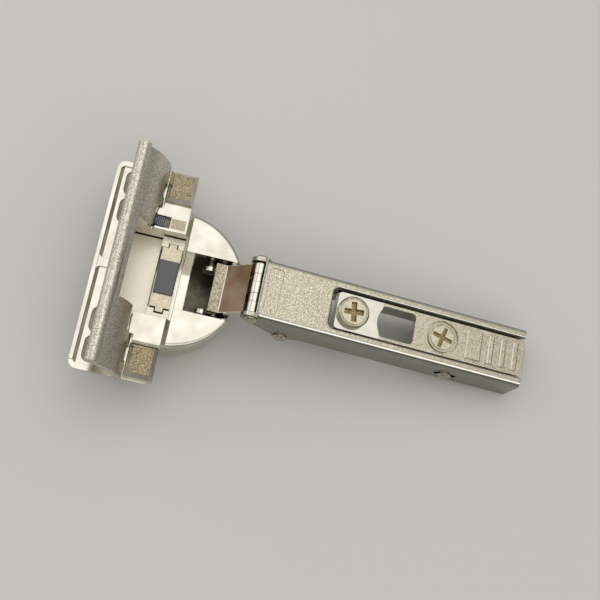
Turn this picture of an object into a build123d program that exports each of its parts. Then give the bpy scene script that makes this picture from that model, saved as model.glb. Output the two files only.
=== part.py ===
from build123d import *
from math import cos, radians, sin
import os

os.makedirs("parts", exist_ok=True)

# Cup: the pot that drops into the bore in the door
cup_diameter = 35.0
cup_depth = 12.6
cup_wall = 0.9
cup_floor = 0.8
cup_corner = 2.0

# Well inside the cup: wide under the damper, narrow between the crescents
well_wide_half = 11.6
well_narrow_half = 8.0
well_step_x = 2.2
rim_notch_half = 7.2
rim_notch_depth = 1.4
floor_step_x = 4.6
floor_step_height = 3.6

# Flange lying on the door face at z = 0
crescent_radius = 18.6
crescent_thick = 1.6
crescent_round = 1.2
bevel_inset = 0.4
plate_thick = 1.2
plate_back_x = -20.4
plate_half_length = 28.9
plate_corner = 2.2
plateau_top = 3.4
plateau_front_x = 1.0
plateau_back_x = -6.1
plateau_tail_x = -9.6
plateau_tail_half = 17.4
plateau_half = 19.0
pad_top = 3.8
pad_pitch = 48.0
pad_length = 8.8
pad_width = 7.5
pad_centre_x = -2.65
pad_bevel = 1.1
rim_height = 1.6
rim_width = 1.0
pocket_length = 7.0
pocket_width = 3.6
pocket_depth = 0.35
pocket_x = -15.8
pocket_out_y = 23.0
pocket_in_y = 15.2
tray_front_x = -12.4
tray_depth = 0.45
tray_end = 1.5
tray_corner = 1.2
tray_rib = 2.4

# Expanding dowels under the flange, at the standard pattern
dowel_pitch = 45.0
dowel_x = -9.5
dowel_diameter = 8.0
dowel_length = 11.0
dowel_slit = 1.0
dowel_rib_step = 2.0
dowel_rib_depth = 0.3
dowel_groove = 0.67
dowel_slit_depth = 7.7
claw_leg_out = 1.0
claw_leg_thick = 0.8
claw_leg_width = 1.4
claw_length = 9.0
claw_head = 3.2
claw_head_thick = 0.5

# Fixing flap that clamps the dowels
flap_hinge_x = -7.9
flap_hinge_z = 2.9
flap_chord = 14.4
flap_angle = 57.7
flap_half_length = 29.4
flap_thick = 1.5
flap_lip = 2.4
flap_bow = 1.0
flap_bow_under = 0.9
flap_lip_ramp = 1.0
flap_bar_radius = 1.7
flap_bar_proud = 0.75
flap_root = 0.2
flap_barrel = 1.3
flap_pin_radius = 0.65
flap_notch_half = 11.2
flap_notch_depth = 9.6
flap_barrel_start = 17.7
flap_pin_seat = 1.8
flap_claw_notch = 4.6
flap_claw_reach = 1.2

# Damper in the cup, with the grey button that the closing link presses
housing_top = -3.5
housing_front_x = -4.5
guide_top = -0.4
button_back_x = -4.0
button_front_x = 1.2
button_half = 4.5
button_top = 0.8
button_height = 3.6
button_edge = 0.5
yoke_half = 8.2
yoke_shoulder = 0.2
yoke_bottom = -7.0
tongue_width = 2.0
tongue_reach = 1.2
button_travel = 4.0

# Switch that turns the damper off, on the far plateau
switch_centre_x = -6.0
switch_centre_y = 13.8
switch_slot_length = 4.9
switch_slot_width = 3.2
switch_slot_depth = 1.2
switch_length = 3.1
switch_ribs = 5
switch_rib_height = 0.35
switch_rib_length = 0.28
switch_rib_inset = 0.1
switch_nose = 0.6

# Linkage pivots, in the plane of the fold
outer_cup_x = 9.41
outer_cup_z = -3.82
inner_cup_x = 12.8
inner_cup_z = -3.8
outer_arm_along = -0.78
outer_arm_up = -2.17
inner_arm_along = 9.27
inner_arm_up = -10.78
link_pin_radius = 1.1
link_pin_seat = 1.4
arm_pin_radius = 1.0
pin_head_radius = 1.9
pin_head_thick = 0.8
pin_head_bevel = 0.5

# Links
outer_half = 6.6
outer_cheek = 1.2
outer_eye = 1.95
cheek_under = 0.8
outer_knuckle = 1.7
web_thick = 1.5
web_over = 1.1
web_end = 6.85
web_bend = 0.68
lip_length = 2.9
lip_rise = 48.0
knuckle_gap_in = 1.5
knuckle_gap_out = 3.8
bush_step = 0.1
inner_half = 5.1
inner_thick = 1.5
inner_eye = 2.1
inner_knee_x = 1.6
inner_knee_z = 2.6
inner_crest_lead = 0.4
inner_crest_reach = 5.4
inner_crest_z = 1.7
inner_bend = 1.6
inner_arm_wall = 1.2
open_pivot_clearance = 0.83
open_pivot_shift_x = -0.08
open_pivot_shift_z = 0.66

# Arm channel: lies open, its top falling to the rear
arm_front_x = 22.5
arm_front_z = 10.06
arm_fall = 5.7
arm_length = 73.0
arm_half = 8.0
arm_wall = 1.1
arm_top = 1.4
arm_skirt = 10.4
arm_edge = 1.45
arm_nose = 2.6
arm_chin = 1.8
arm_heel = 2.4
slot_start = 19.0
slot_half = 5.5
slot_corner = 1.6
slot_rim = 0.6
plain_panel_start = 1.6
plain_panel_length = 3.6
plain_panel_half = 6.0
plain_panel_depth = 0.25
plain_panel_corner = 0.8

# Carrier inside the arm, with its adjusters
carrier_start = 20.6
carrier_half = 6.5
carrier_sheet = 1.2
carrier_land_half = 5.0
carrier_land_drop = 1.0
carrier_shoulder_drop = 2.7
carrier_skirt = 9.9
carrier_tail = 73.4
carrier_corner = 1.0
screw_along = 25.0
screw_head = 8.4
screw_head_over = 0.5
screw_head_edge = 0.4
screw_ring_inset = 0.85
screw_ring_width = 0.25
screw_ring_depth = 0.2
screw_shank = 4.0
screw_length = 7.0
window_start = 32.8
window_length = 9.4
window_half = 4.2
window_corner = 1.0
window_bulge = 0.9
cam_along = 50.2
cam_seat = 8.9
cam_seat_depth = 0.7
cam_disc = 7.8
cam_stem = 4.4
cam_length = 5.6
cam_sink = 0.1
cam_ring_inset = 0.65
cam_cross_length = 5.6
cam_cross_width = 1.0
cam_cross_depth = 0.42
cam_cross_turn = -14
cross_length = 5.2
cross_width = 1.4
cross_depth = 0.8
cross_turn = 7
pad_start = 56.7
grip_pad_length = 4.5
grip_half = 3.9
grip_rise = 0.45
grip_rib_start = 63.0
grip_rib_pitch = 3.45
grip_rib_length = 1.6
grip_ribs = 3
grip_bevel = 0.3
carrier_pin_along = 54.0
carrier_pin_up = -6.6
carrier_pin_radius = 1.25
depth_back = 1.5
depth_out = 2.0
hook_along = 31.0
hook_up = -8.4
hook_radius = 1.2
clip_along = 66.0
clip_up = -7.2
clip_pin_radius = 1.0
clip_half = 5.0
clip_reach = 7.2
clip_drop = 3.4
clip_thick = 1.4
clip_hook_drop = 2.0
clip_rise = 0.8
clip_tail_drop = 2.8
clip_bend = 1.0

# Fits
run_gap = 0.05
seat_gap = 0.02
slide_gap = 0.25
free_gap = 0.4
end_gap = 0.1

# Worked-out places
cup_radius = cup_diameter / 2
well_radius = cup_radius - cup_wall
well_floor = cup_floor - cup_depth
fall = radians(arm_fall)
arm_dir = Vector(cos(fall), 0, -sin(fall))
arm_up = Vector(sin(fall), 0, cos(fall))
arm_origin = Vector(arm_front_x, 0, arm_front_z)
arm_plane = Plane(origin=arm_origin, x_dir=arm_dir, z_dir=arm_up)
arm_side = Plane(origin=arm_origin, x_dir=arm_dir, z_dir=(0, -1, 0))
outer_arm = arm_origin + arm_dir * outer_arm_along + arm_up * outer_arm_up
inner_arm = arm_origin + arm_dir * inner_arm_along + arm_up * inner_arm_up
link_run = Vector(outer_arm.X - outer_cup_x, 0, outer_arm.Z - outer_cup_z)
link_length = link_run.length
link_side = Plane(origin=(outer_cup_x, 0, outer_cup_z), x_dir=link_run, z_dir=(0, -1, 0))
flap_lean = radians(180 - flap_angle)
flap_side = Plane(
    origin=(flap_hinge_x, 0, flap_hinge_z),
    x_dir=(cos(flap_lean), 0, sin(flap_lean)),
    z_dir=(0, -1, 0),
)
flap_bar_at = flap_chord - flap_bar_radius
arm_inside = arm_half - arm_wall
outer_inside = outer_half - outer_cheek
sides = {"a": 1, "b": -1}


def finish(builder, name):
    # Labels a finished piece and writes its file
    builder.part.label = name
    export_step(builder.part, f"parts/{name}.step")


# Cup pot with its well and the holes for the link pins
with BuildPart() as hinge_cup:
    with BuildSketch(Plane.XY.offset(-cup_depth)):
        Circle(cup_radius)
    extrude(amount=cup_depth)
    fillet(hinge_cup.edges().group_by(Axis.Z)[0], cup_corner)
    with BuildSketch(Plane.XY.offset(well_floor)):
        Circle(well_radius)
        with Locations((well_step_x - well_radius, 0)):
            Rectangle(2 * well_radius, 2 * well_wide_half, mode=Mode.INTERSECT)
    extrude(amount=cup_depth, mode=Mode.SUBTRACT)
    with BuildSketch(Plane.XY.offset(well_floor + floor_step_height)):
        Circle(well_radius)
        with Locations((well_step_x + well_radius, 0)):
            Rectangle(2 * well_radius, 2 * well_narrow_half, mode=Mode.INTERSECT)
    extrude(amount=cup_depth, mode=Mode.SUBTRACT)
    with BuildSketch(Plane.XY.offset(well_floor)):
        Circle(well_radius)
        with Locations((floor_step_x + well_radius, 0)):
            Rectangle(2 * well_radius, 2 * well_narrow_half, mode=Mode.INTERSECT)
    extrude(amount=cup_depth, mode=Mode.SUBTRACT)
    with BuildSketch(Plane.XY):
        with Locations((cup_radius, 0)):
            Rectangle(cup_radius, 2 * rim_notch_half)
    extrude(amount=-rim_notch_depth, mode=Mode.SUBTRACT)
    with BuildSketch(Plane.XZ):
        with Locations((outer_cup_x, outer_cup_z), (inner_cup_x, inner_cup_z)):
            Circle(link_pin_radius + seat_gap)
    extrude(amount=well_narrow_half + link_pin_seat + end_gap, both=True, mode=Mode.SUBTRACT)
finish(hinge_cup, "hinge_cup")

# Flange: base plate, crescents, raised plateaus, end pads and the tray under the flap
with BuildPart() as cup_flange:
    with BuildSketch(Plane.XY):
        with Locations(((plate_back_x + pad_centre_x + pad_width / 2) / 2, 0)):
            RectangleRounded(
                pad_centre_x + pad_width / 2 - plate_back_x, 2 * plate_half_length, plate_corner
            )
    extrude(amount=plate_thick)
    with BuildSketch(Plane.YZ):
        with BuildLine():
            Line((0, 0), (-crescent_radius, 0))
            Line((-crescent_radius, 0), (-crescent_radius, crescent_thick - crescent_round))
            CenterArc(
                (crescent_round - crescent_radius, crescent_thick - crescent_round),
                crescent_round,
                start_angle=90,
                arc_size=90,
            )
            Line((crescent_round - crescent_radius, crescent_thick), (0, crescent_thick))
            Line((0, crescent_thick), (0, 0))
        make_face()
    revolve(axis=Axis.Z, revolution_arc=180)
    with BuildSketch(Plane.XY):
        with Locations(((plateau_front_x + plateau_back_x) / 2, 0)):
            Rectangle(plateau_front_x - plateau_back_x, 2 * plateau_half)
        with Locations(((plateau_front_x + plateau_tail_x) / 2, 0)):
            Rectangle(plateau_front_x - plateau_tail_x, 2 * plateau_tail_half)
    extrude(amount=plateau_top)
    with BuildSketch(Plane.XZ):
        with BuildLine():
            Polyline(
                (plateau_front_x, 0),
                (plateau_front_x, plateau_top),
                (well_step_x, crescent_thick),
                (well_step_x, 0),
                close=True,
            )
        make_face()
    extrude(amount=crescent_radius - bevel_inset, both=True)
    with BuildSketch(Plane.XY):
        with Locations((pad_centre_x, pad_pitch / 2), (pad_centre_x, -pad_pitch / 2)):
            Rectangle(pad_width, pad_length)
    extrude(amount=pad_top)
    chamfer(cup_flange.edges().group_by(Axis.Z)[-1], pad_bevel)
    with BuildSketch(Plane.XY):
        with Locations((plate_back_x + rim_width / 2, 0)):
            Rectangle(rim_width, 2 * (plate_half_length - plate_corner))
    extrude(amount=rim_height)
    with BuildSketch(Plane.XY.offset(plate_thick - tray_depth)):
        tray_length = plate_half_length - tray_end - tray_rib / 2
        tray_width = tray_front_x - plate_back_x - rim_width
        for side in sides.values():
            with Locations((tray_front_x - tray_width / 2, side * (tray_rib + tray_length) / 2)):
                RectangleRounded(tray_width, tray_length, tray_corner)
    extrude(amount=tray_depth, mode=Mode.SUBTRACT)
    with BuildSketch(Plane.XY.offset(plate_thick - tray_depth - pocket_depth)):
        for y in (pocket_out_y, pocket_in_y, -pocket_in_y, -pocket_out_y):
            with Locations((pocket_x, y)):
                SlotOverall(pocket_length, pocket_width, rotation=90)
    extrude(amount=pocket_depth, mode=Mode.SUBTRACT)
    with BuildSketch(Plane.XY):
        Circle(well_radius)
        with Locations((well_step_x - well_radius, 0)):
            Rectangle(2 * well_radius, 2 * well_wide_half, mode=Mode.INTERSECT)
        with Locations((crescent_radius, 0)):
            Rectangle(2 * crescent_radius, 2 * well_narrow_half)
    extrude(amount=pad_top, mode=Mode.SUBTRACT)
    with BuildSketch(Plane.XY):
        for side in sides.values():
            for leg in (claw_leg_out, -claw_leg_out):
                with Locations((dowel_x, side * dowel_pitch / 2 + leg)):
                    Rectangle(claw_leg_width + 2 * end_gap, claw_leg_thick + 2 * end_gap)
    extrude(amount=plate_thick, mode=Mode.SUBTRACT)
    with BuildSketch(Plane.XY.offset(plateau_top - switch_slot_depth)):
        with Locations((switch_centre_x, switch_centre_y)):
            Rectangle(switch_slot_length, switch_slot_width)
    extrude(amount=switch_slot_depth, mode=Mode.SUBTRACT)
    with BuildSketch(Plane.XZ.offset(-plateau_half)):
        with Locations((flap_hinge_x, flap_hinge_z)):
            Circle(flap_pin_radius + seat_gap)
    extrude(amount=2 * plateau_half, mode=Mode.SUBTRACT)
finish(cup_flange, "cup_flange")

# Ribbed dowels with a solid core, and the two-legged claws that spread their sides
for tag, side in sides.items():
    with BuildPart() as dowel:
        with BuildSketch(Plane.XY):
            with Locations((dowel_x, side * dowel_pitch / 2)):
                Circle(dowel_diameter / 2)
        extrude(amount=-dowel_length)
        rib_count = int(dowel_length / dowel_rib_step) - 1
        for i in range(rib_count):
            with BuildSketch(Plane.XY.offset(-dowel_rib_step * (i + 1))):
                with Locations((dowel_x, side * dowel_pitch / 2)):
                    Circle(dowel_diameter / 2)
                    Circle(dowel_diameter / 2 - dowel_rib_depth, mode=Mode.SUBTRACT)
            extrude(amount=-dowel_groove, mode=Mode.SUBTRACT)
        with BuildSketch(Plane.XY):
            for leg in (claw_leg_out, -claw_leg_out):
                with Locations((dowel_x, side * dowel_pitch / 2 + leg)):
                    Rectangle(claw_leg_width + 2 * end_gap, claw_leg_thick + 2 * end_gap)
        extrude(amount=plate_thick - claw_length - slide_gap, mode=Mode.SUBTRACT)
        slit_reach = dowel_diameter / 2 - claw_leg_out
        slit_centre = claw_leg_out + slit_reach / 2
        with BuildSketch(Plane.XY.offset(-dowel_length)):
            for slit in (slit_centre, -slit_centre):
                with Locations((dowel_x, side * dowel_pitch / 2 + slit)):
                    Rectangle(dowel_slit, slit_reach)
        extrude(amount=dowel_slit_depth, mode=Mode.SUBTRACT)
    finish(dowel, f"dowel_{tag}")

    with BuildPart() as claw:
        with BuildSketch(Plane.XY.offset(plate_thick + run_gap)):
            with Locations((dowel_x, side * dowel_pitch / 2)):
                Circle(claw_head / 2)
        extrude(amount=claw_head_thick)
        with BuildSketch(Plane.XY.offset(plate_thick + run_gap)):
            for leg in (claw_leg_out, -claw_leg_out):
                with Locations((dowel_x, side * dowel_pitch / 2 + leg)):
                    Rectangle(claw_leg_width, claw_leg_thick)
        extrude(amount=-claw_length)
    finish(claw, f"dowel_claw_{tag}")

# Flap with bowed wings, a thick lip and the notch that the arm closes into
with BuildPart() as fixing_flap:
    with BuildSketch(flap_side):
        with BuildLine():
            ThreePointArc(
                (0, -flap_barrel),
                (flap_chord / 2, -flap_barrel - flap_bow),
                (flap_bar_at, flap_bar_proud - flap_barrel),
            )
            Line((flap_bar_at, flap_bar_proud - flap_barrel), (flap_bar_at, flap_lip - flap_barrel))
            Line((flap_bar_at, flap_lip - flap_barrel), (flap_chord - flap_lip, flap_lip - flap_barrel))
            Line(
                (flap_chord - flap_lip, flap_lip - flap_barrel),
                (flap_chord - flap_lip - flap_lip_ramp, flap_thick - flap_barrel),
            )
            ThreePointArc(
                (flap_chord - flap_lip - flap_lip_ramp, flap_thick - flap_barrel),
                (flap_chord / 2, flap_thick - flap_barrel - flap_bow_under),
                (0, flap_thick - flap_barrel + flap_root),
            )
            Line((0, flap_thick - flap_barrel + flap_root), (0, -flap_barrel))
        make_face()
        with Locations((flap_bar_at, flap_bar_proud - flap_barrel)):
            Circle(flap_bar_radius)
        Circle(flap_barrel)
    extrude(amount=flap_half_length, both=True)
    with BuildSketch(flap_side):
        with Locations((flap_notch_depth / 2 - flap_barrel, 0)):
            Rectangle(flap_notch_depth + 2 * flap_barrel, 8 * flap_barrel)
    extrude(amount=flap_notch_half, both=True, mode=Mode.SUBTRACT)
    with BuildSketch(flap_side):
        with Locations((flap_barrel / 2, 0)):
            Rectangle(4.2 * flap_barrel, 8 * flap_barrel)
    extrude(amount=flap_barrel_start, both=True, mode=Mode.SUBTRACT)
    for side in sides.values():
        with BuildSketch(flap_side.offset(-side * (dowel_pitch - flap_claw_notch) / 2)):
            with Locations((flap_claw_reach - 2 * flap_barrel, 0)):
                Rectangle(4 * flap_barrel, 8 * flap_barrel)
        extrude(amount=-side * flap_claw_notch, mode=Mode.SUBTRACT)
    with BuildSketch(flap_side):
        Circle(flap_pin_radius + run_gap)
    extrude(amount=flap_half_length, both=True, mode=Mode.SUBTRACT)
finish(fixing_flap, "fixing_flap")

# Short hinge pins of the flap, seated in the plateaus
for tag, side in sides.items():
    with BuildPart() as flap_pin:
        with BuildSketch(Plane.XZ.offset(-side * (plateau_tail_half - flap_pin_seat))):
            with Locations((flap_hinge_x, flap_hinge_z)):
                Circle(flap_pin_radius)
        extrude(amount=-side * (flap_half_length - plateau_tail_half + flap_pin_seat))
    finish(flap_pin, f"flap_pin_{tag}")

# Damper housing in the back of the well, with guides beside the button
with BuildPart() as damper_housing:
    with BuildSketch(Plane.XY.offset(well_floor)):
        Circle(well_radius - slide_gap)
        with Locations((housing_front_x - well_radius, 0)):
            Rectangle(2 * well_radius, 2 * (well_wide_half - slide_gap), mode=Mode.INTERSECT)
    extrude(amount=housing_top - well_floor)
    with BuildSketch(Plane.XY.offset(well_floor)):
        guide_centre = (yoke_half + well_wide_half) / 2
        guide_width = well_wide_half - yoke_half - 2 * slide_gap
        guide_length = button_front_x + slide_gap - housing_front_x
        for side in sides.values():
            with Locations((housing_front_x + guide_length / 2, side * guide_centre)):
                Rectangle(guide_length, guide_width)
    extrude(amount=guide_top - well_floor)
    with BuildSketch(Plane.XY.offset(yoke_bottom - button_travel - slide_gap)):
        for side in sides.values():
            with Locations(((button_back_x + button_front_x) / 2, side * yoke_half)):
                Rectangle(tongue_width + 2 * slide_gap, 2 * (tongue_reach + slide_gap))
    extrude(amount=cup_depth, mode=Mode.SUBTRACT)
finish(damper_housing, "damper_housing")

# Yoke that slides in the housing and carries the button
with BuildPart() as damper_yoke:
    with BuildSketch(Plane.XY.offset(yoke_bottom)):
        with Locations(((button_back_x + button_front_x) / 2, 0)):
            Rectangle(button_front_x - button_back_x, 2 * yoke_half)
            Rectangle(tongue_width, 2 * (yoke_half + tongue_reach))
    extrude(amount=yoke_shoulder - yoke_bottom)
    with BuildSketch(Plane.XY.offset(button_top - button_height)):
        with Locations(((button_back_x + button_front_x) / 2, 0)):
            Rectangle(2 * (button_front_x - button_back_x), 2 * (button_half + seat_gap))
    extrude(amount=button_height, mode=Mode.SUBTRACT)
finish(damper_yoke, "damper_yoke")

# Grey plastic button on the yoke
with BuildPart() as damper_button:
    with BuildSketch(Plane.XY.offset(button_top - button_height)):
        with Locations(((button_back_x + button_front_x) / 2, 0)):
            Rectangle(button_front_x - button_back_x, 2 * button_half)
    extrude(amount=button_height)
    fillet(damper_button.edges().group_by(Axis.Z)[-1].filter_by(Axis.Y), button_edge)
finish(damper_button, "damper_button")

# Switch: a ribbed slider with a rounded nose in its slot
with BuildPart() as damper_switch:
    slot_floor = plateau_top - switch_slot_depth
    switch_width = switch_slot_width - 2 * slide_gap
    switch_back_x = switch_centre_x - switch_slot_length / 2 + slide_gap
    with BuildSketch(Plane.XY.offset(slot_floor)):
        with BuildLine():
            Polyline(
                (switch_back_x + switch_length, switch_centre_y + switch_width / 2),
                (switch_back_x + switch_width / 2, switch_centre_y + switch_width / 2),
            )
            ThreePointArc(
                (switch_back_x + switch_width / 2, switch_centre_y + switch_width / 2),
                (switch_back_x, switch_centre_y),
                (switch_back_x + switch_width / 2, switch_centre_y - switch_width / 2),
            )
            Polyline(
                (switch_back_x + switch_width / 2, switch_centre_y - switch_width / 2),
                (switch_back_x + switch_length, switch_centre_y - switch_width / 2),
                (switch_back_x + switch_length, switch_centre_y + switch_width / 2),
            )
        make_face()
    extrude(amount=switch_slot_depth - switch_rib_height)
    rib_step = (switch_length - switch_nose) / switch_ribs
    with BuildSketch(Plane.XY.offset(plateau_top - switch_rib_height)):
        for i in range(switch_ribs):
            rib_x = switch_back_x + switch_nose + rib_step * (i + 0.5)
            reach = min(switch_width / 2, rib_x - switch_back_x) - switch_rib_inset
            with Locations((rib_x, switch_centre_y)):
                Rectangle(switch_rib_length, 2 * reach)
    extrude(amount=switch_rib_height)
finish(damper_switch, "damper_switch")

# Stub pins of the outer link and the full pin of the inner link
for tag, side in sides.items():
    with BuildPart() as link_pin:
        with BuildSketch(Plane.XZ.offset(-side * (outer_inside + seat_gap))):
            with Locations((outer_cup_x, outer_cup_z)):
                Circle(link_pin_radius)
        extrude(amount=-side * (well_narrow_half + link_pin_seat - outer_inside))
    finish(link_pin, f"link_pin_{tag}")

with BuildPart() as cup_pin:
    with BuildSketch(Plane.XZ):
        with Locations((inner_cup_x, inner_cup_z)):
            Circle(link_pin_radius)
    extrude(amount=well_narrow_half + link_pin_seat, both=True)
finish(cup_pin, "cup_pin")

# Outer link: two cheeks, a web with a turned-up lip and split knuckles round the arm pin
with BuildPart() as outer_link:
    with BuildSketch(link_side):
        with Locations((link_length / 2, (web_over - cheek_under) / 2)):
            Rectangle(link_length, web_over + cheek_under)
        with Locations((link_length, 0)):
            Circle(outer_knuckle)
        Circle(outer_eye)
    extrude(amount=outer_half, both=True)
    with BuildSketch(link_side):
        with Locations((link_length / 2, 0)):
            Rectangle(link_length + 8 * outer_eye, 4 * outer_eye)
    extrude(amount=outer_inside, both=True, mode=Mode.SUBTRACT)
    rise = radians(lip_rise)
    lip_x = web_end - lip_length * cos(rise)
    lip_y = web_over + lip_length * sin(rise)
    with BuildSketch(link_side):
        with BuildLine():
            Polyline(
                (link_length, web_over),
                (web_end, web_over),
                (lip_x, lip_y),
                (lip_x - web_thick * sin(rise), lip_y - web_thick * cos(rise)),
                (web_end - web_bend, web_over - web_thick),
                (link_length, web_over - web_thick),
                close=True,
            )
        make_face()
        with Locations((link_length, 0)):
            Circle(outer_knuckle)
    extrude(amount=outer_half, both=True)
    with BuildSketch(link_side):
        Circle(link_pin_radius + run_gap)
        with Locations((link_length, 0)):
            Circle(arm_pin_radius + run_gap)
    extrude(amount=outer_half, both=True, mode=Mode.SUBTRACT)
    for side in sides.values():
        with BuildSketch(link_side.offset(-side * knuckle_gap_in)):
            with Locations((link_length, 0)):
                Rectangle(2 * (outer_knuckle + free_gap), 4 * outer_knuckle)
        extrude(amount=-side * (knuckle_gap_out - knuckle_gap_in), mode=Mode.SUBTRACT)
finish(outer_link, "outer_link")

# Bushes on the arm pin between the knuckles
for tag, side in sides.items():
    with BuildPart() as link_bush:
        with BuildSketch(link_side.offset(-side * (knuckle_gap_in + run_gap))):
            with Locations((link_length, 0)):
                Circle(outer_knuckle - bush_step)
                Circle(arm_pin_radius + run_gap, mode=Mode.SUBTRACT)
        extrude(amount=-side * (knuckle_gap_out - knuckle_gap_in - 2 * run_gap))
    finish(link_bush, f"link_bush_{tag}")

# Inner link: a gooseneck over the cup's rim, with an open eye at the arm
inner_path = [
    (inner_cup_x, inner_cup_z),
    (inner_cup_x + inner_knee_x, inner_cup_z + inner_knee_z),
    (cup_radius + inner_crest_lead, inner_crest_z),
    (cup_radius + inner_crest_reach, inner_crest_z),
    (inner_arm.X, inner_arm.Z),
]
with BuildPart() as inner_link:
    with BuildSketch(Plane.XZ):
        with BuildLine():
            FilletPolyline(*inner_path, radius=inner_bend)
        trace(line_width=inner_thick)
        with Locations((inner_cup_x, inner_cup_z)):
            Circle(inner_eye)
        with Locations((inner_arm.X + open_pivot_shift_x, inner_arm.Z + open_pivot_shift_z)):
            Circle(arm_pin_radius + open_pivot_clearance + inner_arm_wall)
        with Locations((inner_cup_x, inner_cup_z)):
            Circle(link_pin_radius + run_gap, mode=Mode.SUBTRACT)
        with Locations((inner_arm.X + open_pivot_shift_x, inner_arm.Z + open_pivot_shift_z)):
            Circle(arm_pin_radius + open_pivot_clearance, mode=Mode.SUBTRACT)
    extrude(amount=inner_half, both=True)
finish(inner_link, "inner_link")

# Arm channel: nose round the outer pin, heel round the inner pin, slotted top
with BuildPart() as arm_channel:
    with BuildSketch(arm_side):
        with BuildLine():
            Polyline(
                (outer_arm_along, 0),
                (arm_length, 0),
                (arm_length, -arm_skirt),
                (inner_arm_along + arm_heel * 2, -arm_skirt),
                (inner_arm_along, inner_arm_up - arm_heel),
                (inner_arm_along - arm_heel, inner_arm_up),
                (outer_arm_along - arm_chin, outer_arm_up - arm_chin),
                (outer_arm_along, outer_arm_up),
                close=True,
            )
        make_face()
        with Locations((outer_arm_along, outer_arm_up)):
            Circle(arm_nose)
        with Locations((inner_arm_along, inner_arm_up)):
            Circle(arm_heel)
    extrude(amount=arm_half, both=True)
    with BuildSketch(arm_plane.offset(-arm_top)):
        with Locations((arm_length / 2, 0)):
            Rectangle(2 * arm_length, 2 * arm_inside)
    extrude(amount=-2 * arm_skirt, mode=Mode.SUBTRACT)
    with BuildSketch(arm_plane.offset(arm_nose)):
        with Locations((-arm_nose * 2, 0)):
            Rectangle(4 * arm_nose, 2 * arm_inside)
    extrude(amount=-2 * arm_nose, mode=Mode.SUBTRACT)
    fillet(
        arm_channel.edges().filter_by(lambda e: abs(e.length - arm_length - outer_arm_along) < 2)
        .group_by(Axis.Y)[0].sort_by(Axis.Z)[-1:],
        arm_edge,
    )
    fillet(
        arm_channel.edges().filter_by(lambda e: abs(e.length - arm_length - outer_arm_along) < 2)
        .group_by(Axis.Y)[-1].sort_by(Axis.Z)[-1:],
        arm_edge,
    )
    with BuildSketch(arm_side):
        with Locations((outer_arm_along, outer_arm_up)):
            Circle(outer_knuckle + free_gap)
    extrude(amount=arm_inside, both=True, mode=Mode.SUBTRACT)
    with BuildSketch(arm_plane):
        with Locations((slot_start + arm_length, 0)):
            RectangleRounded(2 * arm_length, 2 * slot_half, slot_corner)
    extrude(amount=-arm_top, mode=Mode.SUBTRACT)
    arm_face = arm_channel.faces().filter_by(lambda f: f.normal_at().dot(arm_up) > 0.999)
    rim_reach = slot_half + end_gap
    fillet(
        arm_face.sort_by(SortBy.AREA)[-1].edges()
        .filter_by(lambda e: abs(e.center().Y) < rim_reach and e.center().X > arm_front_x + slot_start / 2)
        .filter_by(lambda e: e.center().X < arm_front_x + arm_length - slot_start / 2),
        slot_rim,
    )
    with BuildSketch(arm_plane):
        with Locations((plain_panel_start + plain_panel_length / 2, 0)):
            RectangleRounded(plain_panel_length, 2 * plain_panel_half, plain_panel_corner)
    extrude(amount=-plain_panel_depth, mode=Mode.SUBTRACT)
    with BuildSketch(arm_side):
        with Locations((outer_arm_along, outer_arm_up), (inner_arm_along, inner_arm_up)):
            Circle(arm_pin_radius + seat_gap)
        with Locations((carrier_pin_along + (depth_out - depth_back) / 2, carrier_pin_up)):
            SlotCenterToCenter(depth_out + depth_back, 2 * (carrier_pin_radius + run_gap))
    extrude(amount=arm_half, both=True, mode=Mode.SUBTRACT)
finish(arm_channel, "arm_channel")


def headed_pin(plane_point, radius, half):
    # Pin across the arm with a bevelled head outside each wall
    with BuildPart() as pin:
        with BuildSketch(arm_side):
            with Locations(plane_point):
                Circle(radius)
        extrude(amount=half + seat_gap, both=True)
        for side in sides.values():
            with BuildSketch(arm_side.offset(side * (half + seat_gap))):
                with Locations(plane_point):
                    Circle(pin_head_radius)
            extrude(amount=side * pin_head_thick)
        crowns = pin.edges().filter_by(GeomType.CIRCLE).group_by(Axis.Y)
        chamfer(crowns[0] + crowns[-1], pin_head_bevel)
    return pin


outer_pin = headed_pin((outer_arm_along, outer_arm_up), arm_pin_radius, arm_half)
finish(outer_pin, "arm_pin_outer")
inner_pin = headed_pin((inner_arm_along, inner_arm_up), arm_pin_radius, arm_half)
finish(inner_pin, "arm_pin_inner")
slide_pin = headed_pin((carrier_pin_along, carrier_pin_up), carrier_pin_radius, arm_half)
finish(slide_pin, "carrier_pin")

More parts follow.
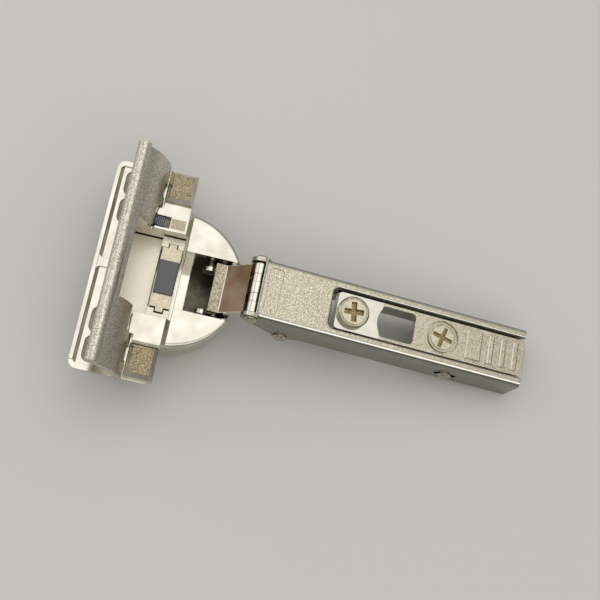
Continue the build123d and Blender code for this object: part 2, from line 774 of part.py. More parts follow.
# Carrier: a channel inside the arm with a land showing in the slot
with BuildPart() as arm_carrier:
    with BuildSketch(arm_plane.offset(-carrier_shoulder_drop)):
        with Locations(((carrier_start + carrier_tail) / 2, 0)):
            Rectangle(carrier_tail - carrier_start, 2 * carrier_half)
    extrude(amount=carrier_shoulder_drop - carrier_skirt)
    with BuildSketch(arm_plane.offset(-carrier_shoulder_drop - carrier_sheet)):
        with Locations(((carrier_start + carrier_tail) / 2, 0)):
            Rectangle(2 * carrier_tail, 2 * (carrier_half - carrier_sheet))
    extrude(amount=-carrier_skirt, mode=Mode.SUBTRACT)
    with BuildSketch(arm_plane.offset(-carrier_shoulder_drop)):
        with Locations(((carrier_start + carrier_tail) / 2, 0)):
            RectangleRounded(carrier_tail - carrier_start, 2 * carrier_land_half, carrier_corner)
    extrude(amount=carrier_shoulder_drop - carrier_land_drop)
    with BuildSketch(arm_plane.offset(-carrier_land_drop)):
        with Locations((window_start + window_length / 2, 0)):
            RectangleRounded(window_length, 2 * window_half, window_corner)
        bow_half = window_half - window_corner
        with BuildLine():
            ThreePointArc(
                (window_start, -bow_half), (window_start - window_bulge, 0), (window_start, bow_half)
            )
            Line((window_start, bow_half), (window_start, -bow_half))
        make_face()
    extrude(amount=-2 * carrier_shoulder_drop, mode=Mode.SUBTRACT)
    with BuildSketch(arm_plane.offset(-carrier_land_drop)):
        with Locations((cam_along, 0)):
            Circle(cam_seat / 2)
    extrude(amount=-cam_seat_depth, mode=Mode.SUBTRACT)
    with BuildSketch(arm_plane):
        with Locations((cam_along, 0)):
            Circle(cam_stem / 2 + run_gap)
        with Locations((screw_along, 0)):
            Circle(screw_shank / 2 + run_gap)
    extrude(amount=-2 * carrier_shoulder_drop, mode=Mode.SUBTRACT)
    with BuildSketch(arm_plane.offset(-carrier_land_drop)):
        with Locations((pad_start + grip_pad_length / 2, 0)):
            Rectangle(grip_pad_length, 2 * grip_half)
        for i in range(grip_ribs):
            with Locations((grip_rib_start + grip_rib_length / 2 + i * grip_rib_pitch, 0)):
                Rectangle(grip_rib_length, 2 * grip_half)
    extrude(amount=grip_rise)
    grip_tops = arm_carrier.faces().filter_by(lambda f: f.normal_at().dot(arm_up) > 0.999)
    grip_level = grip_rise - carrier_land_drop
    chamfer(
        grip_tops.filter_by(lambda f: abs((f.center() - arm_origin).dot(arm_up) - grip_level) < seat_gap)
        .edges().filter_by(Axis.Y),
        grip_bevel,
    )
    with BuildSketch(arm_side):
        with Locations((carrier_pin_along, carrier_pin_up)):
            Circle(carrier_pin_radius + run_gap)
        with Locations((hook_along, hook_up)):
            Circle(hook_radius + seat_gap)
        with Locations((clip_along, clip_up)):
            Circle(clip_pin_radius + seat_gap)
    extrude(amount=carrier_half, both=True, mode=Mode.SUBTRACT)
finish(arm_carrier, "arm_carrier")

# Side adjusting screw at the front of the slot
with BuildPart() as side_screw:
    screw_face = arm_plane.offset(screw_head_over)
    with BuildSketch(screw_face):
        with Locations((screw_along, 0)):
            Circle(screw_head / 2)
    extrude(amount=-screw_head_over - carrier_land_drop + seat_gap)
    chamfer(side_screw.edges().filter_by(GeomType.CIRCLE).sort_by(Axis.Z)[-1], screw_head_edge)
    with BuildSketch(arm_plane):
        with Locations((screw_along, 0)):
            Circle(screw_shank / 2)
    extrude(amount=-screw_length)
    with BuildSketch(screw_face):
        with Locations((screw_along, 0)):
            Circle(screw_head / 2 - screw_ring_inset + screw_ring_width)
            Circle(screw_head / 2 - screw_ring_inset, mode=Mode.SUBTRACT)
    extrude(amount=-screw_ring_depth, mode=Mode.SUBTRACT)
    with BuildSketch(screw_face):
        with Locations((screw_along, 0)):
            Rectangle(cross_length, cross_width, rotation=cross_turn)
            Rectangle(cross_width, cross_length, rotation=cross_turn)
    extrude(amount=-cross_depth, mode=Mode.SUBTRACT)
finish(side_screw, "side_screw")

# Depth adjusting cam, sunk in its seat
with BuildPart() as depth_cam:
    cam_face = arm_plane.offset(-carrier_land_drop - cam_sink)
    with BuildSketch(cam_face):
        with Locations((cam_along, 0)):
            Circle(cam_disc / 2)
    extrude(amount=cam_sink + seat_gap - cam_seat_depth)
    with BuildSketch(cam_face):
        with Locations((cam_along, 0)):
            Circle(cam_stem / 2)
    extrude(amount=-cam_length)
    with BuildSketch(cam_face):
        with Locations((cam_along, 0)):
            Circle(cam_disc / 2 - cam_ring_inset + screw_ring_width)
            Circle(cam_disc / 2 - cam_ring_inset, mode=Mode.SUBTRACT)
    extrude(amount=-screw_ring_depth, mode=Mode.SUBTRACT)
    with BuildSketch(cam_face):
        with Locations((cam_along, 0)):
            Rectangle(cam_cross_length, cam_cross_width, rotation=cam_cross_turn)
            Rectangle(cam_cross_width, cam_cross_length, rotation=cam_cross_turn)
    extrude(amount=-cam_cross_depth, mode=Mode.SUBTRACT)
finish(depth_cam, "depth_cam")

# Hook pin that drops into the mounting plate, and the pin of the clip lever
with BuildPart() as hook_pin:
    with BuildSketch(arm_side):
        with Locations((hook_along, hook_up)):
            Circle(hook_radius)
    extrude(amount=carrier_half, both=True)
finish(hook_pin, "hook_pin")

with BuildPart() as clip_pin:
    with BuildSketch(arm_side):
        with Locations((clip_along, clip_up)):
            Circle(clip_pin_radius)
    extrude(amount=carrier_half, both=True)
finish(clip_pin, "clip_pin")

# Clip lever under the grip ribs
with BuildPart() as clip_lever:
    with BuildSketch(arm_side):
        with BuildLine():
            FilletPolyline(
                (clip_along - clip_drop, clip_up - clip_hook_drop),
                (clip_along, clip_up),
                (clip_along + clip_reach, clip_up + clip_rise),
                (clip_along + clip_reach, clip_up - clip_tail_drop),
                radius=clip_bend,
            )
        trace(line_width=clip_thick)
        with Locations((clip_along, clip_up)):
            Circle(clip_pin_radius + clip_thick)
            Circle(clip_pin_radius + run_gap, mode=Mode.SUBTRACT)
    extrude(amount=clip_half, both=True)
finish(clip_lever, "clip_lever")
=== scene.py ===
import bpy
import math
from mathutils import Matrix, Vector


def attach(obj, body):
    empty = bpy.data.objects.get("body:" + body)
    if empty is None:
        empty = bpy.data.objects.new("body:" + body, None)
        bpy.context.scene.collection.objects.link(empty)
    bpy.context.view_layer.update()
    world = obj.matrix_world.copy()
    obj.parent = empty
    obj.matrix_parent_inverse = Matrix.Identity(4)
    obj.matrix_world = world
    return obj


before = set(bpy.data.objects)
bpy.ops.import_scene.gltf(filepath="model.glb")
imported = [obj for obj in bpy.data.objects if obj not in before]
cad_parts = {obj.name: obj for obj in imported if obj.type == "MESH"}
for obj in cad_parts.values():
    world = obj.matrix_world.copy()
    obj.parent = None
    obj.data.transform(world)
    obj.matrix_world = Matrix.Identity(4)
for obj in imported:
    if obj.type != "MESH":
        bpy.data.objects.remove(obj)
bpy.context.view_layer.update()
mm = 0.001
print("frame loaded:", len(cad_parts), "nodes")

# The arm lies open and falls towards its rear, so its own directions come first
armLine = {"front": Vector((22.5, 0, 10.06)) * mm, "fall": math.radians(5.7)}
armDir = Vector((math.cos(armLine["fall"]), 0, -math.sin(armLine["fall"])))
armUp = Vector((math.sin(armLine["fall"]), 0, math.cos(armLine["fall"])))


def onArm(along, across, up):
    return armLine["front"] + armDir * along * mm + Vector((0, across * mm, 0)) + armUp * up * mm


def hexColour(code):
    out = []
    for i in (1, 3, 5):
        c = int(code[i:i + 2], 16) / 255
        out.append(c / 12.92 if c <= 0.04045 else ((c + 0.055) / 1.055) ** 2.4)
    return (*out, 1.0)


def addNode(tree, kind, settings=None, inputs=None):
    node = tree.nodes.new(kind)
    for key, value in (settings or {}).items():
        setattr(node, key, value)
    for key, value in (inputs or {}).items():
        if isinstance(value, bpy.types.NodeSocket):
            tree.links.new(value, node.inputs[key])
        else:
            node.inputs[key].default_value = value
    return node


def newMaterial(name):
    mat = bpy.data.materials.new(name)
    mat.use_nodes = True
    tree = mat.node_tree
    shader = tree.nodes["Principled BSDF"]
    return mat, tree, shader


def product(tree, first, second):
    return addNode(tree, "ShaderNodeMath", {"operation": "MULTIPLY"}, {0: first, 1: second}).outputs[0]


def bandMask(tree, value, low, high):
    # one inside the band, zero outside it, with a short ramp at each end
    ramp = 0.08 * mm
    rise = addNode(tree, "ShaderNodeMapRange", {}, {0: value, 1: low, 2: low + ramp}).outputs[0]
    drop = addNode(tree, "ShaderNodeMapRange", {},
                   {0: value, 1: high - ramp, 2: high, 3: 1.0, 4: 0.0}).outputs[0]
    return product(tree, rise, drop)


def placeOf(tree):
    # object coordinates, and the same point measured along and above the arm
    coord = addNode(tree, "ShaderNodeTexCoord")
    apart = addNode(tree, "ShaderNodeSeparateXYZ", {}, {0: coord.outputs["Object"]})
    shifted = addNode(tree, "ShaderNodeVectorMath", {"operation": "SUBTRACT"},
                      {0: coord.outputs["Object"], 1: armLine["front"]}).outputs[0]
    along = addNode(tree, "ShaderNodeVectorMath", {"operation": "DOT_PRODUCT"}, {0: shifted, 1: armDir})
    above = addNode(tree, "ShaderNodeVectorMath", {"operation": "DOT_PRODUCT"}, {0: shifted, 1: armUp})
    return {"object": coord.outputs["Object"], "normal": coord.outputs["Normal"], "x": apart.outputs["X"],
            "y": apart.outputs["Y"], "z": apart.outputs["Z"],
            "along": along.outputs["Value"], "above": above.outputs["Value"]}


def boxMask(tree, place, box):
    # one where the point lies within every span of the box
    inside = 1.0
    for axis, span in box.items():
        inside = product(tree, inside, bandMask(tree, place[axis], *span))
    return inside


levelFace = (0.9, 0.98)  # cosines from which a face counts as level, a little and in full


def facing(tree, place, direction, low, high):
    # how far a face looks along a direction of the piece itself, between two cosines
    dot = addNode(tree, "ShaderNodeVectorMath", {"operation": "DOT_PRODUCT"},
                  {0: place["normal"], 1: direction}).outputs["Value"]
    return addNode(tree, "ShaderNodeMapRange", {}, {0: dot, 1: low, 2: high}).outputs[0]


def grain(tree, place, sizeMm, detail=2.0, rough=0.6):
    # the grain's size in millimetres sets the noise scale in metres
    noise = addNode(tree, "ShaderNodeTexNoise", {}, {"Vector": place["object"], "Scale": 1 / (sizeMm * mm),
                                                     "Detail": detail, "Roughness": rough})
    return noise.outputs["Fac"]


def mixColour(tree, factor, first, second):
    node = addNode(tree, "ShaderNodeMix", {"data_type": "RGBA"}, {0: factor, 6: first, 7: second})
    return node.outputs[2]


def mixNumber(tree, factor, first, second):
    return addNode(tree, "ShaderNodeMix", {}, {0: factor, 2: first, 3: second}).outputs[0]


def reachOf(tree, first, second):
    # the length of a flat offset given by its two parts
    flat = addNode(tree, "ShaderNodeCombineXYZ", {}, {0: first, 1: second}).outputs[0]
    return addNode(tree, "ShaderNodeVectorMath", {"operation": "LENGTH"}, {0: flat}).outputs["Value"]


def softEdge(tree, radiusMm):
    # tumbled edges catch the light over a fraction of a millimetre
    return addNode(tree, "ShaderNodeBevel", {"samples": 4}, {"Radius": radiusMm * mm}).outputs[0]


satin = {"bright": "#dad5c7", "dark": "#a59d8d", "roughLow": 0.26, "roughHigh": 0.46, "grainMm": 0.3,
         "contrast": (0.36, 0.66), "pitDepthMm": 0.035, "bump": 0.6, "edgeMm": 0.18}
polished = {"bright": "#e7e4d9", "dark": "#c9c2b1", "rough": 0.13, "waveMm": 3.2, "waveDepthMm": 0.05,
            "waveShare": 0.5, "bump": 0.5, "edgeMm": 0.18}
accentStreak = {"wave": (0.3, 0.7), "share": (0.82, 1.0)}


def satinColour(tree, place, look):
    speck = grain(tree, place, look["grainMm"])
    low, high = look["contrast"]
    sharp = addNode(tree, "ShaderNodeMapRange", {}, {0: speck, 1: low, 2: high}).outputs[0]
    tint = mixColour(tree, sharp, hexColour(look["dark"]), hexColour(look["bright"]))
    rough = mixNumber(tree, sharp, look["roughHigh"], look["roughLow"])
    return tint, rough, speck


def satinNickel(name, look):
    # Tumbled metal, nickel-plated steel unless its name says zinc or steel: a warm grey with pearl specks where
    # single grains catch the light
    mat, tree, shader = newMaterial(name)
    place = placeOf(tree)
    tint, rough, speck = satinColour(tree, place, look)
    bump = addNode(tree, "ShaderNodeBump", {}, {"Strength": look["bump"], "Distance": look["pitDepthMm"] * mm,
                                                "Height": speck, "Normal": softEdge(tree, look["edgeMm"])})
    shader.inputs["Metallic"].default_value = 1.0
    tree.links.new(tint, shader.inputs["Base Color"])
    tree.links.new(rough, shader.inputs["Roughness"])
    tree.links.new(bump.outputs[0], shader.inputs["Normal"])
    return mat


def polishedNickel(name, look):
    # Drawn and polished metal, nickel-plated steel unless its name says zinc or steel: mirror-like, with the
    # slow waves that drawing leaves
    mat, tree, shader = newMaterial(name)
    place = placeOf(tree)
    wave = grain(tree, place, look["waveMm"], detail=1.0)
    tint = mixColour(tree, wave, hexColour(look["dark"]), hexColour(look["bright"]))
    bump = addNode(tree, "ShaderNodeBump", {}, {"Strength": look["bump"], "Distance": look["waveDepthMm"] * mm,
                                                "Height": wave, "Normal": softEdge(tree, look["edgeMm"])})
    shader.inputs["Metallic"].default_value = 1.0
    shader.inputs["Roughness"].default_value = look["rough"]
    tree.links.new(tint, shader.inputs["Base Color"])
    tree.links.new(bump.outputs[0], shader.inputs["Normal"])
    return mat


def twoFinishes(name, maskOf, satinLook, polishLook, accentOf=None, creaseOf=None):
    # Plated steel with a grained face and polished sides: a mask on the piece parts the two, and a second mask
    # lays an accent colour on the polished part (the link's own tone, a painted highlight on the arm, painted
    # shade on the flange), a third painted shade in a crease
    mat, tree, shader = newMaterial(name)
    place = placeOf(tree)
    mask = maskOf(tree, place)
    tint, rough, speck = satinColour(tree, place, satinLook)
    wave = grain(tree, place, polishLook["waveMm"], detail=1.0)
    clean = mixColour(tree, wave, hexColour(polishLook["dark"]), hexColour(polishLook["bright"]))
    if accentOf:
        waveLow, waveHigh = accentStreak["wave"]
        shareLow, shareHigh = accentStreak["share"]
        streak = addNode(tree, "ShaderNodeMapRange", {},
                         {0: wave, 1: waveLow, 2: waveHigh, 3: shareLow, 4: shareHigh}).outputs[0]
        accent = product(tree, streak, accentOf(tree, place))
        clean = mixColour(tree, accent, clean, hexColour(polishLook["accent"]))
    if creaseOf:
        clean = mixColour(tree, creaseOf(tree, place), clean, hexColour(polishLook["crease"]))
    height = mixNumber(tree, mask, product(tree, wave, polishLook["waveShare"]), speck)
    bump = addNode(tree, "ShaderNodeBump", {}, {
        "Strength": satinLook["bump"], "Distance": satinLook["pitDepthMm"] * mm, "Height": height,
        "Normal": softEdge(tree, satinLook["edgeMm"])})
    shader.inputs["Metallic"].default_value = 1.0
    tree.links.new(mixColour(tree, mask, clean, tint), shader.inputs["Base Color"])
    tree.links.new(mixNumber(tree, mask, polishLook["rough"], rough), shader.inputs["Roughness"])
    tree.links.new(bump.outputs[0], shader.inputs["Normal"])
    return mat


plastic = {"pitDepthMm": 0.02, "bump": 0.3, "edgeMm": 0.12}
buttonLook = dict(plastic, low="#505154", high="#656668", rough=0.42, grainMm=0.25)
# the switch's groove colour is painted shade
switchLook = dict(plastic, low="#6a6e77", high="#81868f", rough=0.36, grainMm=0.2, grooveShade="#1f2024",
                  grooveTop=3.2 * mm)
dowelLook = dict(plastic, low="#6c6d6c", high="#838483", rough=0.5, grainMm=0.4)


def mouldedPlastic(name, look):
    # Moulded plastic: an even colour under a fine spark-eroded grain, with painted shade in its grooves where
    # it has some
    mat, tree, shader = newMaterial(name)
    place = placeOf(tree)
    speck = grain(tree, place, look["grainMm"])
    bump = addNode(tree, "ShaderNodeBump", {}, {"Strength": look["bump"], "Distance": look["pitDepthMm"] * mm,
                                                "Height": speck, "Normal": softEdge(tree, look["edgeMm"])})
    tint = mixColour(tree, speck, hexColour(look["low"]), hexColour(look["high"]))
    if "grooveShade" in look:
        sunk = addNode(tree, "ShaderNodeMath", {"operation": "LESS_THAN"},
                       {0: place["z"], 1: look["grooveTop"]})
        tint = mixColour(tree, sunk.outputs[0], tint, hexColour(look["grooveShade"]))
    tree.links.new(tint, shader.inputs["Base Color"])
    shader.inputs["Roughness"].default_value = look["rough"]
    tree.links.new(bump.outputs[0], shader.inputs["Normal"])
    return mat


# Flange: the pads' tops and the land beside the switch are grained, the rest is polished
flangeGrain = {"padTop": (3.72 * mm, 3.77 * mm), "landShare": 0.75,
               "land": {"x": (-3.4 * mm, 0.5 * mm), "y": (12.3 * mm, 15.2 * mm)}}


def flangeMask(tree, place):
    low, high = flangeGrain["padTop"]
    top = addNode(tree, "ShaderNodeMapRange", {}, {0: place["z"], 1: low, 2: high}).outputs[0]
    land = boxMask(tree, place, flangeGrain["land"])
    land = product(tree, land, facing(tree, place, (0, 0, 1), *levelFace))
    land = product(tree, land, flangeGrain["landShare"])
    return addNode(tree, "ShaderNodeMath", {"operation": "MAXIMUM"}, {0: top, 1: land}).outputs[0]


# Tray: painted shade darkens its pockets, the channel inside its rim and the floor of the switch's slot
trayPaintedShade = {
    "channel": {"x": (-19.5 * mm, -18.5 * mm), "z": (0.5 * mm, 1.0 * mm)},
    "pocket": {"x": (-19.0 * mm, -12.0 * mm), "z": (0.2 * mm, 0.6 * mm)},
    "slot": {"x": (-8.6 * mm, -3.45 * mm), "z": (1.6 * mm, 2.9 * mm), "y": (12.1 * mm, 15.5 * mm)},
}


def trayShadeMask(tree, place):
    dark = 0.0
    for patch in trayPaintedShade.values():
        inside = boxMask(tree, place, patch)
        dark = addNode(tree, "ShaderNodeMath", {"operation": "MAXIMUM"}, {0: dark, 1: inside}).outputs[0]
    return product(tree, dark, facing(tree, place, (0, 0, 1), *levelFace))


# Arm: its top is grained, and a painted highlight lightens the turn of its edges
armTop = (0.93, 0.985)
armEdge = {"start": (0.8, 0.87), "end": (0.94, 0.98)}


def armTopMask(tree, place):
    return facing(tree, place, armUp, *armTop)


def edgePaintedHighlight(tree, place):
    turned = facing(tree, place, armUp, *armEdge["start"])
    flat = facing(tree, place, armUp, *armEdge["end"])
    return addNode(tree, "ShaderNodeMath", {"operation": "SUBTRACT"}, {0: turned, 1: flat}).outputs[0]


# Carrier: grained, apart from the bright land between the screw and the window
carrierLand = {"along": (20.0 * mm, 32.9 * mm)}


def carrierMask(tree, place):
    land = boxMask(tree, place, carrierLand)
    grained = addNode(tree, "ShaderNodeMath", {"operation": "SUBTRACT"}, {0: 1.0, 1: land}).outputs[0]
    return product(tree, grained, facing(tree, place, armUp, *levelFace))


# Outer link: the turned-up lip is grained, the polished web has a copper tone between its bend and the
# knuckles, and painted shade darkens the crease along the knuckles
linkLip = {"x": (9.0 * mm, 13.45 * mm), "z": (0.0, 4.5 * mm)}
linkWeb = {"box": {"x": (13.6 * mm, 19.6 * mm), "y": (-6.5 * mm, 6.5 * mm)}, "normal": (-0.7, 0, 0.714),
           "facing": (0.95, 0.99)}
linkCrease = {"x": (19.3 * mm, 20.2 * mm), "z": (7.2 * mm, 9.3 * mm)}


def linkMask(tree, place):
    return boxMask(tree, place, linkLip)


def webWarmth(tree, place):
    face = facing(tree, place, linkWeb["normal"], *linkWeb["facing"])
    return product(tree, face, boxMask(tree, place, linkWeb["box"]))


def creasePaintedShade(tree, place):
    return boxMask(tree, place, linkCrease)


# Cup: the bottom of the well under the links is painted dark as shade, the step beside the button is polished
cupWellShade = {"box": {"x": (4.65 * mm, 16.7 * mm), "y": (-8.1 * mm, 8.1 * mm), "z": (-12.2 * mm, -0.4 * mm)},
           "radius": 16.75 * mm}


def wellShadeMask(tree, place):
    inside = addNode(tree, "ShaderNodeMath", {"operation": "LESS_THAN"},
                     {0: reachOf(tree, place["x"], place["y"]), 1: cupWellShade["radius"]}).outputs[0]
    return product(tree, inside, boxMask(tree, place, cupWellShade["box"]))


# Adjusting screws: the cross is struck deep, and its floor is painted a darker tan as shade
sideCross = {"along": 25.0 * mm, "radius": 2.75 * mm, "sunk": (-0.4 * mm, 0.2 * mm)}
camCross = {"along": 50.2 * mm, "radius": 2.75 * mm, "sunk": (-1.66 * mm, -1.35 * mm)}


def crossMask(cross):
    def maskOf(tree, place):
        offset = addNode(tree, "ShaderNodeMath", {"operation": "SUBTRACT"},
                         {0: place["along"], 1: cross["along"]}).outputs[0]
        near = addNode(tree, "ShaderNodeMath", {"operation": "LESS_THAN"},
                       {0: reachOf(tree, offset, place["y"]), 1: cross["radius"]}).outputs[0]
        return product(tree, near, bandMask(tree, place["above"], *cross["sunk"]))
    return maskOf


padGrain = dict(satin, bright="#b8a98f", dark="#74664f", roughLow=0.36, roughHigh=0.55, grainMm=0.28)
lipGrain = dict(satin, bright="#c4b9a4", dark="#877b68", roughLow=0.34, roughHigh=0.5, grainMm=0.34)
# the well's dark grain colour is painted shade
wellShadeGrain = dict(satin, bright="#5f594d", dark="#4f4a40", roughLow=0.3, roughHigh=0.34, grainMm=1.6,
                 pitDepthMm=0.01)
# the cross floor's tan colour is painted shade
crossShadeTan = dict(satin, bright="#9c8a63", dark="#6d5d3f", roughLow=0.3, roughHigh=0.42, grainMm=0.4)
armGrain = dict(satin, bright="#d8d1c0", dark="#a0967f", grainMm=0.3)
# the arm's accent colour is a painted highlight along the turn of its edges
armPolish = dict(polished, bright="#9a9b8d", dark="#858679", accent="#f0eee4", rough=0.14)
carrierPolish = dict(polished, bright="#d1cec4", dark="#b5afa0")
# the link's crease colour is painted shade
linkPolish = dict(polished, accent="#836a52", crease="#2b2823", rough=0.17, waveMm=6.0, waveShare=0.2)
# the flange's accent colour is painted shade in the tray's recesses
flangePolish = dict(polished, dark="#b4ac9b", accent="#595346", waveMm=4.5)
flapGrain = dict(satin, bright="#ebe6d9", dark="#a39c8b", grainMm=0.32, pitDepthMm=0.045)
houseGrain = dict(satin, bright="#d8d1c1", dark="#cec7b6", roughLow=0.34, roughHigh=0.37, grainMm=0.5,
                  pitDepthMm=0.004)
yokeGrain = dict(satin, bright="#cdc2ab", dark="#bdb29b", pitDepthMm=0.006)
screwPolish = dict(polished, bright="#cdc6b3", dark="#9d947d", rough=0.2, waveMm=1.2)

finishes = {
    "satinNickel": satinNickel("satinNickel", satin),
    "polishedNickel": polishedNickel("polishedNickel", polished),
    "cupNickel": twoFinishes("cupNickel", wellShadeMask, wellShadeGrain, polished),
    "flangeNickel": twoFinishes("flangeNickel", flangeMask, padGrain, flangePolish, trayShadeMask),
    "armNickel": twoFinishes("armNickel", armTopMask, armGrain, armPolish, edgePaintedHighlight),
    "carrierNickel": twoFinishes("carrierNickel", carrierMask, armGrain, carrierPolish),
    "linkNickel": twoFinishes("linkNickel", linkMask, lipGrain, linkPolish, webWarmth, creasePaintedShade),
    "brightZinc": polishedNickel("brightZinc", screwPolish),
    "sideScrewZinc": twoFinishes("sideScrewZinc", crossMask(sideCross), crossShadeTan, screwPolish),
    "camZinc": twoFinishes("camZinc", crossMask(camCross), crossShadeTan, screwPolish),
    "flapNickel": satinNickel("flapNickel", flapGrain),
    "paleSteel": satinNickel("paleSteel", houseGrain),
    "yokeZinc": satinNickel("yokeZinc", yokeGrain),
    "buttonPlastic": mouldedPlastic("buttonPlastic", buttonLook),
    "switchPlastic": mouldedPlastic("switchPlastic", switchLook),
    "dowelNylon": mouldedPlastic("dowelNylon", dowelLook),
}

nodeFinish = {
    "hinge_cup": "cupNickel", "cup_flange": "flangeNickel", "dowel_a": "dowelNylon",
    "dowel_b": "dowelNylon", "dowel_claw_a": "brightZinc", "dowel_claw_b": "brightZinc",
    "fixing_flap": "flapNickel", "flap_pin_a": "brightZinc", "flap_pin_b": "brightZinc",
    "damper_housing": "paleSteel", "damper_yoke": "yokeZinc", "damper_button": "buttonPlastic",
    "damper_switch": "switchPlastic", "link_pin_a": "brightZinc", "link_pin_b": "brightZinc",
    "cup_pin": "brightZinc", "outer_link": "linkNickel", "link_bush_a": "linkNickel",
    "link_bush_b": "linkNickel", "inner_link": "polishedNickel", "arm_channel": "armNickel",
    "arm_pin_outer": "brightZinc", "arm_pin_inner": "brightZinc", "carrier_pin": "brightZinc",
    "arm_carrier": "carrierNickel", "side_screw": "sideScrewZinc", "depth_cam": "camZinc",
    "hook_pin": "brightZinc", "clip_pin": "brightZinc", "clip_lever": "satinNickel",
}
for nodeName, finishName in nodeFinish.items():
    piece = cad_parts[nodeName]
    piece.data.materials.clear()
    piece.data.materials.append(finishes[finishName])
print("finishes set:", len(nodeFinish))

# Thread of the side screw, a fine ridge wound round its shank under the land
thread = {"along": 25.0, "radius": 1.97, "top": -4.1, "pitch": 0.7, "turns": 3.8, "ridge": 0.22,
          "stepsPerTurn": 32, "ridgeSides": 6}


def threadTree():
    tree = bpy.data.node_groups.new("screwThread", "GeometryNodeTree")
    tree.interface.new_socket("Geometry", in_out="OUTPUT", socket_type="NodeSocketGeometry")
    for label in ("Radius", "Height", "Turns", "Ridge"):
        tree.interface.new_socket(label, in_out="INPUT", socket_type="NodeSocketFloat")
    tree.interface.new_socket("Finish", in_out="INPUT", socket_type="NodeSocketMaterial")
    source = addNode(tree, "NodeGroupInput")
    radius, height, turns, ridge, finish = source.outputs[:5]
    spiral = addNode(tree, "GeometryNodeCurveSpiral", {}, {
        "Resolution": thread["stepsPerTurn"], "Rotations": turns, "Start Radius": radius, "End Radius": radius,
        "Height": height})
    profile = addNode(tree, "GeometryNodeCurvePrimitiveCircle", {},
                      {"Resolution": thread["ridgeSides"], "Radius": ridge})
    ridgeMesh = addNode(tree, "GeometryNodeCurveToMesh", {}, {
        0: spiral.outputs[0], "Profile Curve": profile.outputs[0], "Fill Caps": True})
    plain = addNode(tree, "GeometryNodeRealizeInstances", {}, {0: ridgeMesh.outputs[0]})
    done = addNode(tree, "GeometryNodeSetMaterial", {}, {"Geometry": plain.outputs[0], "Material": finish})
    addNode(tree, "NodeGroupOutput", {}, {0: done.outputs[0]})
    return tree


def plainMesh(name, tree, values, place):
    # evaluates a node tree once and keeps the result as a plain mesh in its place
    holder = bpy.data.objects.new(name + "Maker", bpy.data.meshes.new(name + "Maker"))
    bpy.context.scene.collection.objects.link(holder)
    modifier = holder.modifiers.new("maker", "NODES")
    modifier.node_group = tree
    for item in tree.interface.items_tree:
        if item.in_out == "INPUT" and item.name in values:
            modifier[item.identifier] = values[item.name]
    graph = bpy.context.evaluated_depsgraph_get()
    mesh = bpy.data.meshes.new_from_object(holder.evaluated_get(graph))
    bpy.data.objects.remove(holder)
    mesh.transform(place)
    mesh.name = name
    made = bpy.data.objects.new(name, mesh)
    bpy.context.scene.collection.objects.link(made)
    return made


armTurn = Matrix((armDir, Vector((0, 1, 0)), armUp)).transposed().to_4x4()
threadBottom = thread["top"] - thread["pitch"] * thread["turns"]
screwThread = plainMesh("screw_thread", threadTree(), {
    "Radius": thread["radius"] * mm, "Height": thread["pitch"] * thread["turns"] * mm,
    "Turns": thread["turns"], "Ridge": thread["ridge"] * mm, "Finish": finishes["brightZinc"],
}, Matrix.Translation(onArm(thread["along"], 0, threadBottom)) @ armTurn)
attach(screwThread, "side_screw")
print("thread made:", len(screwThread.data.polygons), "faces")

# Floor: the cup's edge and the arm's rear end both rest on it
floorLook = {"colour": "#d2d1cd", "rough": 0.85, "gloss": 0.2, "size": 4.0,
             "under": Vector((15.6, 0, -12.62)) * mm, "slope": 3.7}
bpy.ops.mesh.primitive_plane_add(size=floorLook["size"], location=floorLook["under"],
                                 rotation=(0, -math.radians(floorLook["slope"]), 0))
floor = bpy.context.object
floor.name = "floor"
floorMat, floorTree, floorShader = newMaterial("paintedBoard")  # matt paint, no gloss to speak of
floorShader.inputs["Base Color"].default_value = hexColour(floorLook["colour"])
floorShader.inputs["Roughness"].default_value = floorLook["rough"]
floorShader.inputs["Specular IOR Level"].default_value = floorLook["gloss"]
floor.data.materials.append(floorMat)

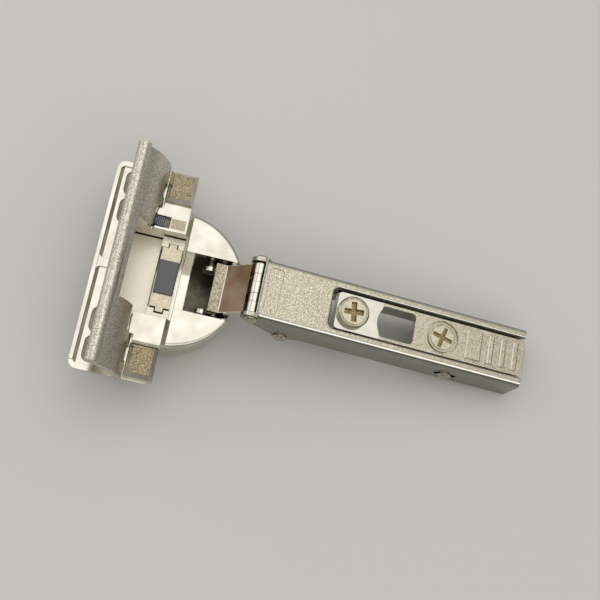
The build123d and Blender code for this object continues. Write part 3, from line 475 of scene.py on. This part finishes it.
# Light: one large softbox over the far side, a card by the cup, a thin strip over the near side that draws
# a line along rounded edges, and a room that is darker near the floor
lamps = {
    "overhead": {"at": (60, 200, 480), "look": (30, 0, 0), "size": (0.52, 0.40), "power": 0.42},
    "cupSide": {"at": (-350, 120, 150), "look": (0, 0, 0), "size": (0.28, 0.36), "power": 0.24},
    "nearStrip": {"at": (140, -330, 380), "look": (60, 0, 0), "size": (0.7, 0.15), "power": 0.28},
}
for lampName, lamp in lamps.items():
    data = bpy.data.lights.new(lampName, "AREA")
    data.shape = "RECTANGLE"
    data.size, data.size_y = lamp["size"]
    data.energy = lamp["power"]
    lampObject = bpy.data.objects.new(lampName, data)
    lampObject.location = Vector(lamp["at"]) * mm
    aim = Vector(lamp["look"]) * mm - lampObject.location
    lampObject.rotation_euler = aim.to_track_quat("-Z", "Y").to_euler()
    bpy.context.scene.collection.objects.link(lampObject)

room = {"colour": "#f2f1ee", "low": 0.16, "high": 1.0}
world = bpy.data.worlds.new("greyRoom")
world.use_nodes = True
roomTree = world.node_tree
skyward = addNode(roomTree, "ShaderNodeTexCoord").outputs["Generated"]
height = addNode(roomTree, "ShaderNodeSeparateXYZ", {}, {0: skyward}).outputs["Z"]
glow = addNode(roomTree, "ShaderNodeMapRange", {},
               {0: height, 1: 0.0, 2: 1.0, 3: room["low"], 4: room["high"]})
roomTree.nodes["Background"].inputs["Color"].default_value = hexColour(room["colour"])
roomTree.links.new(glow.outputs[0], roomTree.nodes["Background"].inputs["Strength"])
bpy.context.scene.world = world

# Camera: the photograph's own place, measured against the cup and the arm
eye = {"at": (1.4, -97.9, 297.2), "right": (0.9685, 0.1837, 0.1681), "up": (-0.2267, 0.9300, 0.2893),
       "lens": 72.0, "sensor": 36.0, "near": 0.01}
cameraData = bpy.data.cameras.new("photoCamera")
cameraData.lens = eye["lens"]
cameraData.sensor_width = eye["sensor"]
cameraData.clip_start = eye["near"]
camera = bpy.data.objects.new("photoCamera", cameraData)
right = Vector(eye["right"]).normalized()
up = (Vector(eye["up"]) - right * Vector(eye["up"]).dot(right)).normalized()
back = right.cross(up)
turn = Matrix((right, up, back)).transposed().to_4x4()
camera.matrix_world = Matrix.Translation(Vector(eye["at"]) * mm) @ turn
bpy.context.scene.collection.objects.link(camera)
bpy.context.scene.camera = camera
bpy.context.scene.view_settings.view_transform = "Standard"
print("lights and camera set")
